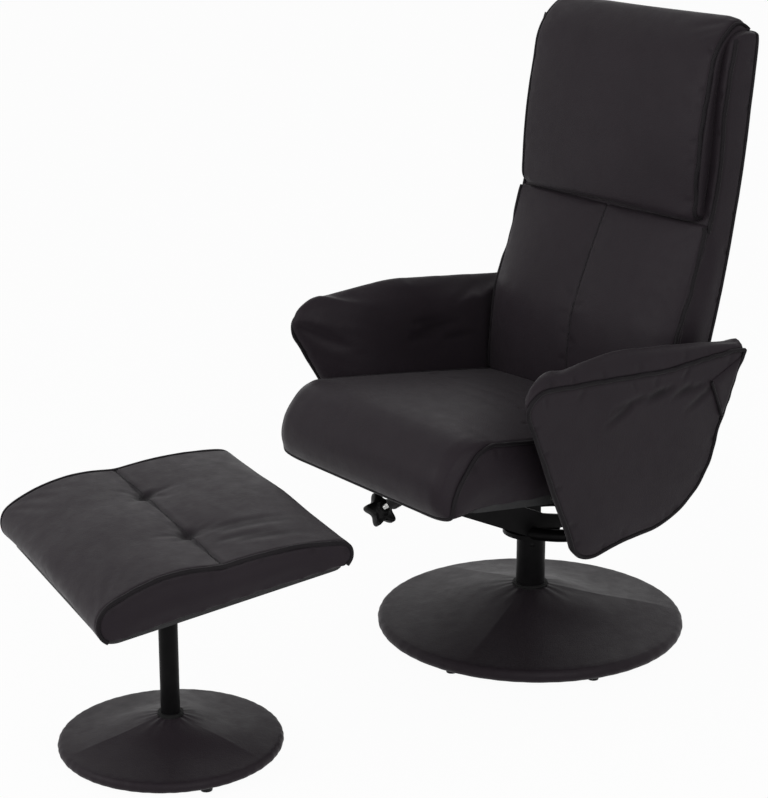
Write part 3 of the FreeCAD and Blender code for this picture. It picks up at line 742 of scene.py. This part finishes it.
shell_rows = both_ways(((240, 6), (234, 0)), [(-120, 0), (0, 0), (120, 0)])
shell_sections = [chair_place(traced(shell_outline(draw), 190), x) for x, draw in shell_rows]
front_edge = traced([(160, 735)] + shell_outline(2)[3:5], 90, closed=False)
rear_edge = traced([(266 - 2, 1048)] + shell_outline(2)[6:], 150, closed=False)
shell_lines = [chair_place(edge, side * 238) for side in (-1, 1) for edge in (front_edge, rear_edge)]
rear_top = np.array([(x, chair_axis.y + 0.2655, 1.0485) for x in np.linspace(-0.238, 0.238, 100)])
shell_lines.append(rear_top)
back_shell = upholstered("back_leather", shell_sections, shell_lines, swell=0.010, voxel=0.007)
shell_surface = surface_of(back_shell)
shell_marks = []
for number, line in enumerate(shell_lines[:4]):
    shell_marks += gathers(shell_surface, line, 0.075, 0.026, 0.0016, 30 + number,
                           side=-1 if number % 2 else 1)
creased(back_shell, shell_marks, [mark_on(shell_surface, line, groove_width, 0.0022) for line in shell_lines])

pad_steps = ((238, -6, 8), (233, -1, 3), (221, 6, 0), (200, 15, 0), (155, 24, 0), (95, 28, 0),
             (35, 27, 0), (10, 25, 0))
pad_rows = both_ways(pad_steps, [(0, 23, 0)])
pad_sections = [chair_place(traced(pad_outline(full, trim), 130), x) for x, full, trim in pad_rows]
pad_front = traced(pad_outline(-2, 4)[3:], 90, closed=False)
pad_lines = [chair_place(pad_front, side * 236) for side in (-1, 1)]
pad_centre = chair_place(traced(pad_outline(23, 0)[3:], 110, closed=False), 0)
back_pad = upholstered("lower_back_leather", pad_sections, pad_lines + [pad_centre], voxel=0.0055,
                       swell=0.010)
pad_surface = surface_of(back_pad)
pad_marks = paired_gathers(pad_surface, pad_lines, 0.09, 0.03, 0.0007, 41)
pad_marks += paired_gathers(pad_surface, [pad_centre, pad_centre], 0.045, 0.030, 0.0010, 43)
pad_grooves = [mark_on(pad_surface, line, groove_width, 0.0022) for line in pad_lines]
creased(back_pad, pad_marks, pad_grooves + [mark_on(pad_surface, pad_centre, 0.0040, 0.0018)])

head_rows = both_ways(((224, -2, 20), (219, 3, 10), (210, 8, 3), (190, 12, 0), (100, 18, 0)), [(0, 20, 0)])
head_sections = [chair_place(traced(head_outline(full, trim), 150), x) for x, full, trim in head_rows]
head_front = traced([(262, 1050)] + head_outline(3, 10)[3:], 120, closed=False)
head_lines = [chair_place(head_front, side * 219) for side in (-1, 1)]
head_pillow = upholstered("head_pillow_leather", head_sections, head_lines, voxel=0.0055, swell=0.016,
                          inset=0.005)
head_surface = surface_of(head_pillow)
head_marks = paired_gathers(head_surface, head_lines, 0.040, 0.034, 0.0012, 51)
creased(head_pillow, head_marks, [mark_on(head_surface, line, groove_width, 0.0026) for line in head_lines])
for piece, node, fill in ((back_shell, "back_shell", 0.8), (back_pad, "back_pad", 0.7),
                          (head_pillow, "head_pillow", 0.65)):
    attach(piece, "seat_and_back")
    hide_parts(node)
welted("back_welts", surface_of(back_shell), shell_lines, "seat_and_back")
welted("lower_back_welts", surface_of(back_pad), pad_lines, "seat_and_back")
welted("head_pillow_welts", surface_of(head_pillow), head_lines, "seat_and_back", radius=0.0028)


# Arms
# Padded panels that lean outwards, each a plywood board in foam; a soft inner panel rolls over the top and is
# sewn to the flat outer one with a welt, and its rear end is folded down over the outer panel.
arm_inner, arm_outer = 259, 303
inner_lean, outer_lean, lean_height = 44, 48, 318
arm_middle_back, arm_middle_up = -50, 425
arm_nose, arm_rear = -292, 178
arm_seam_fall = -34
arm_path = [(arm_rear, 560), ((-24, 576), (-226, 588)), ((-275, 578), (arm_nose, 545)),
            ((-233, 412), (-163, 283)), ((-138, 243), (-92, 236)), ((-40, 249), (12, 254)),
            ((104, 300), (141, 402)), ((157, 480), (arm_rear, 560))]


def leaning(x, lean, up):
    return x + lean * (up - arm_middle_up) / lean_height


def arm_ring(trim_ends, rise, trim_foot, x, lean, side, count=190):
    # The arm's outline at x, drawn in at its front and foot and raised along its top.
    flat = traced(arm_path, count)
    rear_swell = 1 + trim_ends * (70 - trim_ends) / 18000
    stretch = np.where(flat[:, 0] < arm_middle_back, 1 - trim_ends / 225, rear_swell)
    back = arm_middle_back + (flat[:, 0] - arm_middle_back) * stretch
    high = flat[:, 1] - arm_middle_up
    # The roll runs out at the nose, where it meets the outer seam; at the rear the seam climbs to the top.
    nose = np.interp(flat[:, 0], (arm_nose, arm_middle_back), (0.0, 1.0))
    nose = 0.5 + nose * nose * (1.5 - nose)
    lift = arm_seam_fall + (rise - arm_seam_fall) * nose if rise > arm_seam_fall else rise
    lift = lift * np.where(lift < 0, np.interp(flat[:, 0], (0, arm_rear), (1.0, 0.2)), 1.0)
    up = arm_middle_up + high * np.where(high > 0, 1 + lift / 160, 1 - trim_foot / 160)
    return chair_place(np.stack([back, up], 1), side * leaning(x, lean, up))


flap_corners = [(104, 508), (170, 540), (143, 441)]
flap_steps = 18
# Each row is a ring from the inner face to the outer one: front draw-in, rise, foot draw-in, place and lean.
arm_rows = ((130, -60, 90, arm_inner - 11, 44), (100, -36, 62, arm_inner - 9, 44),
            (78, -20, 38, arm_inner - 5, 44),
            (60, -10, 22, arm_inner, 44), (44, 2, 12, arm_inner + 3, 44), (28, 12, 7, arm_inner + 8, 45),
            (14, 18, 4, arm_inner + 15, 46), (6, 17, 2, arm_inner + 23, 46), (3, 9, 1, arm_inner + 30, 47),
            (1, -3, 0, arm_inner + 36, 47), (0, -17, 0.5, arm_inner + 40, 48),
            (1.5, -32, 2, arm_outer - 1.5, 48), (3, -39, 4, arm_outer - 0.7, 48), (8, -47, 8, arm_outer, 48))
for side, label in ((1, "left"), (-1, "right")):
    sections = [arm_ring(*row, side) for row in arm_rows]
    outer_line = arm_ring(1.5, arm_seam_fall, 2.5, arm_outer - 1.2, outer_lean, side)
    arm = upholstered("arm_leather_" + label, sections, [outer_line], voxel=0.0055, swell=0.010, inset=0.003)
    surface = surface_of(arm)
    marks = gathers(surface, outer_line, 0.055, 0.032, 0.0015, 60 + side, True, side)
    marks += gathers(surface, outer_line, 0.060, 0.030, 0.0012, 64 + side, True, -side)
    chance = np.random.default_rng(70)
    for number in range(7):
        back, up = 120 - 30 * number + chance.uniform(-8, 8), 516 - chance.uniform(0, 22)
        across = side * leaning(arm_outer, outer_lean, up)
        ends = chair_place([(back, up), (back - chance.uniform(50, 120), up - chance.uniform(8, 40))], across)
        marks.append(mark_on(surface, ends, 0.0075, 0.0022))
    for number in range(5):
        back, up = chance.uniform(-90, 60), 474 + 9 * number
        across = side * leaning(arm_inner, inner_lean, up)
        ends = chair_place([(back, up), (back + chance.uniform(50, 100), up - chance.uniform(-4, 8))], across)
        marks.append(mark_on(surface, ends, 0.0080, 0.0014))
    creased(arm, marks, [mark_on(surface, outer_line, groove_width, 0.0023, closed=True)])
    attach(arm, "seat_and_back")
    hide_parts("arm_pad_" + label)
    surface = surface_of(arm)
    welted("arm_welt_" + label, surface, [outer_line], "seat_and_back", closed=True)
    corners = [leaning(arm_outer, outer_lean, up) for _, up in flap_corners]
    front, rear, tip = chair_place(flap_corners, side * np.array(corners))
    outside, inside = [], []
    for i in range(flap_steps + 1):
        for j in range(flap_steps + 1):
            u, v = i / flap_steps, j / flap_steps
            spot = (front * (1 - v) + rear * v) * (1 - u) + tip * u
            edge = max(abs(2 * u - 1) ** 8, abs(2 * v - 1) ** 8)
            ground, out, _, _ = surface.find_nearest(Vector(spot))
            outside.append(ground + out * (0.0012 + 0.0034 * (1 - edge)))
            inside.append(ground - out * 0.0015)
    across = flap_steps + 1
    shift = across * across
    faces = []
    for i in range(flap_steps):
        for j in range(flap_steps):
            quad = (i * across + j, i * across + j + 1, (i + 1) * across + j + 1, (i + 1) * across + j)
            faces += [quad, tuple(k + shift for k in reversed(quad))]
    rim = list(range(across)) + [i * across + flap_steps for i in range(1, across)]
    rim += [flap_steps * across + j for j in reversed(range(flap_steps))]
    rim += [i * across for i in reversed(range(1, flap_steps))]
    for a, b in zip(rim, rim[1:] + rim[:1]):
        faces.append((a, b, b + shift, a + shift))
    flap = mesh_piece("arm_flap_" + label, outside + inside, faces, black_leather)
    work = bmesh.new()
    work.from_mesh(flap.data)
    bmesh.ops.remove_doubles(work, verts=work.verts, dist=0.00005)
    bmesh.ops.recalc_face_normals(work, faces=work.faces)
    work.to_mesh(flap.data)
    work.free()
    flat_fold(flap)
    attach(flap, "seat_and_back")
    edge_line = np.array([front * (1 - t) + tip * t for t in np.linspace(0, 1, 40)])
    welted("arm_flap_welt_" + label, surface_of(flap), [edge_line], "seat_and_back", radius=0.0026)


# Footstool cushion
# Foam slab on a board; the top panel wraps over the rounded long edges, flat end panels are welted in, and a
# sewn line with two tufts draws the middle of the top down.
stool_half_w, stool_half_d, stool_tilt = 243, 201, math.radians(9)
stool_thick, stool_front_rise = 66, 18
stool_board_height, stool_overhang = 319, 12
tuft_x, stool_seam_height = 95, 70


def stool_place(points, x):
    # From the cushion's own side view in mm to the row frame: tipped, lifted and turned with the footstool.
    points, across = side_view(points, x)
    y = points[:, 0] + stool_overhang
    back = y * math.cos(stool_tilt) - points[:, 1] * math.sin(stool_tilt)
    up = stool_board_height + y * math.sin(stool_tilt) + points[:, 1] * math.cos(stool_tilt)
    turn = math.radians(stool_turn)
    return np.stack([across * math.cos(turn) - back * math.sin(turn) + stool_axis.x * 1000,
                     across * math.sin(turn) + back * math.cos(turn) + stool_axis.y * 1000, up], 1) / 1000


def stool_outline(draw, dip, floor=3):
    w, h = stool_half_d, stool_thick - draw
    front = h - 14 + stool_front_rise * 0.6
    seam = h - 5 + stool_front_rise * 0.6 - dip
    return [(-w + 10 + draw, floor), ((-w - 1 + draw, 28), (-w + 16, front)),
            ((-w / 2 - 6, h - 1 + stool_front_rise), (-5, seam)), (5, seam),
            ((w / 2 + 6, h), (w - 16, h - 16)), ((w + 2 - draw, 22), (w - 10 - draw, floor))]


stool_steps = ((stool_half_w, 6, 0), (239, 2, 0), (231, 0, 0), (165, 0, 1), (tuft_x, 0, 3), (50, -1, 1))
stool_rows = both_ways(stool_steps, [(0, -2, 1)])
stool_sections = [stool_place(traced(stool_outline(draw, dip), 170), x) for x, draw, dip in stool_rows]
end_edge = traced(stool_outline(3, 1), 130, closed=False)
stool_lines = [stool_place(end_edge, side * (stool_half_w - 4)) for side in (-1, 1)]
seam_x = np.linspace(-236, 236, 120)
stool_seam = stool_place(np.stack([np.zeros(120), np.full(120, stool_seam_height)], 1), seam_x)
stool_cushion = upholstered("footstool_leather", stool_sections, stool_lines + [stool_seam], voxel=0.006,
                            swell=0.012)
stool_surface = surface_of(stool_cushion)
stool_marks = paired_gathers(stool_surface, stool_lines, 0.06, 0.03, 0.0014, 81)
chance = np.random.default_rng(90)
tufts = []
for x in (-tuft_x, tuft_x):
    spot = stool_place([(0, stool_seam_height)], x)[0]
    tufts.append(spot)
    for number in range(8):
        angle = 2 * math.pi * number / 8 + chance.uniform(-0.2, 0.2)
        reach = chance.uniform(26, 62) * (1.5 if abs(math.cos(angle)) > 0.8 else 1.0)
        end = stool_place([(reach * math.sin(angle), 72)], x + reach * math.cos(angle))[0]
        line, _ = laid_on(stool_surface, even_line([spot, end], 0.002), 0.0)
        stool_marks.append((line, 0.0080, 0.0016 * chance.uniform(0.5, 1.1)))
for x, back, reach in ((100, 16, 150), (118, 34, 130), (150, 20, 105), (172, 44, 120)):
    ends = stool_place([(back, 68), (back + reach, 60)], np.array([x, x + 22]))
    stool_marks.append(mark_on(stool_surface, ends, 0.0110, 0.0016))
plain_marks = [mark_on(stool_surface, line, groove_width, 0.0023) for line in stool_lines]
plain_marks.append(mark_on(stool_surface, stool_seam, 0.0040, 0.0024))
for spot in tufts:
    dot, _ = laid_on(stool_surface, np.array([spot, spot, spot]), 0.0)
    plain_marks.append((dot, 0.015, 0.0045))
creased(stool_cushion, stool_marks, plain_marks)
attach(stool_cushion, "footstool")
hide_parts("stool_cushion")
welted("footstool_welts", surface_of(stool_cushion), stool_lines, "footstool")


# Sewing thread and staples
# Black thread along the two plain sewn lines, where no welt covers it, and wire staples that hold the lining
# under the seat and the footstool.
def row_tree(name, material, block):
    # Geometry nodes: small pieces set along a line at a spacing, each turned to follow the line.
    tree, source, names = line_tree(name, "Spacing", "Length", "Thickness")
    points = node_of(tree, "GeometryNodeCurveToPoints", mode="LENGTH")
    place = node_of(tree, "GeometryNodeInstanceOnPoints")
    size = node_of(tree, "ShaderNodeCombineXYZ")
    if block:
        shape = node_of(tree, "GeometryNodeMeshCube", {"Size": (1.0, 1.0, 1.0)})
    else:
        shape = node_of(tree, "GeometryNodeMeshUVSphere", {"Segments": 8, "Rings": 5, "Radius": 0.5})
    tree.links.new(source.outputs["Geometry"], points.inputs["Curve"])
    tree.links.new(source.outputs["Spacing"], points.inputs["Length"])
    tree.links.new(points.outputs["Points"], place.inputs["Points"])
    tree.links.new(points.outputs["Rotation"], place.inputs["Rotation"])
    tree.links.new(shape.outputs["Mesh"], place.inputs["Instance"])
    tree.links.new(source.outputs["Thickness"], size.inputs["X"])
    tree.links.new(source.outputs["Thickness"], size.inputs["Y"])
    tree.links.new(source.outputs["Length"], size.inputs["Z"])
    tree.links.new(size.outputs["Vector"], place.inputs["Scale"])
    real_end(tree, place.outputs["Instances"], material)
    return tree, names


black_thread = moulded_finish("black_thread", (0.012, 0.012, 0.013), (0.030, 0.029, 0.031),
                              (0.55, 0.70), 0.0002)
stitch_tree, stitch_inputs = row_tree("stitch_row", black_thread, False)
stitch_sizes = {stitch_inputs["Spacing"]: 0.0050, stitch_inputs["Length"]: 0.0038,
                stitch_inputs["Thickness"]: 0.0011}
for name, piece, line, body in (("lower_back_stitches", back_pad, pad_centre, "seat_and_back"),
                                ("footstool_stitches", stool_cushion, stool_seam, "footstool")):
    laid, _ = laid_on(surface_of(piece), even_line(line, 0.002), 0.0004)
    stitches = along_lines(name, [laid], stitch_tree, stitch_sizes, black_thread)
    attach(stitches, body)

staple_tree, staple_inputs = row_tree("staple_row", zinc_steel, True)
staple_sizes = {staple_inputs["Spacing"]: 0.032, staple_inputs["Length"]: 0.010,
                staple_inputs["Thickness"]: 0.0009}
below = -0.3
seat_staple_lines = []
for x in (-208, 208):
    seat_staple_lines.append(chair_place(seat_view([(40, below), (372, below)]), x))
for back in (48, 386):
    seat_staple_lines.append(chair_place(seat_view([(back, below), (back, below)]), np.array([-185, 185])))
stool_staple_lines = [stool_place([(-168, below), (168, below)], x) for x in (-215, 215)]
stool_staple_lines += [stool_place([(y, below), (y, below)], np.array([-205, 205])) for y in (-172, 172)]
for name, lines, body in (("seat_staples", seat_staple_lines, "seat_and_back"),
                          ("footstool_staples", stool_staple_lines, "footstool")):
    rows = [even_line(line, 0.01) for line in lines]
    staples = along_lines(name, rows, staple_tree, staple_sizes, zinc_steel)
    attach(staples, body)


# Floor, light and camera
# A plain pale studio: one soft key from the front left, a fill from the right, even light from the surround,
# and the camera where the photograph was taken from.
def seen_white(tree, share):
    # How much of a ray sees the white surround: all but those that light the object.
    rays = node_of(tree, "ShaderNodeLightPath")
    seen = rays.outputs["Is Camera Ray"]
    for kind in ("Is Glossy Ray", "Is Transmission Ray"):
        both = node_of(tree, "ShaderNodeMath", operation="MAXIMUM")
        tree.links.new(seen, both.inputs[0])
        tree.links.new(rays.outputs[kind], both.inputs[1])
        seen = both.outputs["Value"]
    part = node_of(tree, "ShaderNodeMath", {1: share}, operation="MULTIPLY")
    tree.links.new(seen, part.inputs[0])
    return part.outputs["Value"]


def studio_floor():
    made, tree, shader = finish("pale_floor")
    tone = ramp(tree, noise(tree, 3.0), (0.80, 0.80, 0.80), (0.83, 0.83, 0.83))
    tree.links.new(tone, shader.inputs["Base Color"])
    shader.inputs["Roughness"].default_value = 0.85
    shader.inputs["Specular IOR Level"].default_value = 0.1
    glow = node_of(tree, "ShaderNodeEmission", {"Strength": 1.0})
    mix = node_of(tree, "ShaderNodeMixShader")
    out = tree.nodes["Material Output"]
    tree.links.new(seen_white(tree, 0.96), mix.inputs["Fac"])
    tree.links.new(shader.outputs["BSDF"], mix.inputs[1])
    tree.links.new(glow.outputs["Emission"], mix.inputs[2])
    tree.links.new(mix.outputs["Shader"], out.inputs["Surface"])
    return made


floor_half = 20.0
floor_corners = [(x * floor_half, y * floor_half, 0) for x, y in ((-1, -1), (1, -1), (1, 1), (-1, 1))]
floor = mesh_piece("floor", floor_corners, [(0, 1, 2, 3)], studio_floor())

world = bpy.data.worlds.new("studio")
scene.world = world
world.use_nodes = True
sky = world.node_tree
lit = sky.nodes["Background"]
lit.inputs["Color"].default_value = (1.0, 1.0, 1.0, 1.0)
lit.inputs["Strength"].default_value = 0.42
white = node_of(sky, "ShaderNodeBackground", {"Color": (1.0, 1.0, 1.0, 1.0), "Strength": 1.0})
choose = node_of(sky, "ShaderNodeMixShader")
sky.links.new(seen_white(sky, 1.0), choose.inputs["Fac"])
sky.links.new(lit.outputs["Background"], choose.inputs[1])
sky.links.new(white.outputs["Background"], choose.inputs[2])
sky.links.new(choose.outputs["Shader"], sky.nodes["World Output"].inputs["Surface"])

for name, spot, aim, watts, size in (("key", (-0.7, -3.0, 1.8), (0, 0, 0.5), 44, 2.0),
                                     ("fill", (2.9, -0.9, 1.5), (0, 0.1, 0.6), 32, 1.8)):
    lamp = bpy.data.lights.new(name, "AREA")
    lamp.energy = watts
    lamp.size = size
    holder = bpy.data.objects.new(name, lamp)
    scene.collection.objects.link(holder)
    holder.location = spot
    holder.rotation_euler = (Vector(aim) - Vector(spot)).to_track_quat("-Z", "Y").to_euler()

camera = bpy.data.cameras.new("camera")
camera.sensor_width = 36.0
camera.lens = 99.25
camera.clip_end = 100.0
eye = bpy.data.objects.new("camera", camera)
scene.collection.objects.link(eye)
eye.location = (2.7232, -2.008, 1.4987)
eye.rotation_euler = (math.radians(73.362), 0.0, math.radians(53.0))
scene.camera = eye
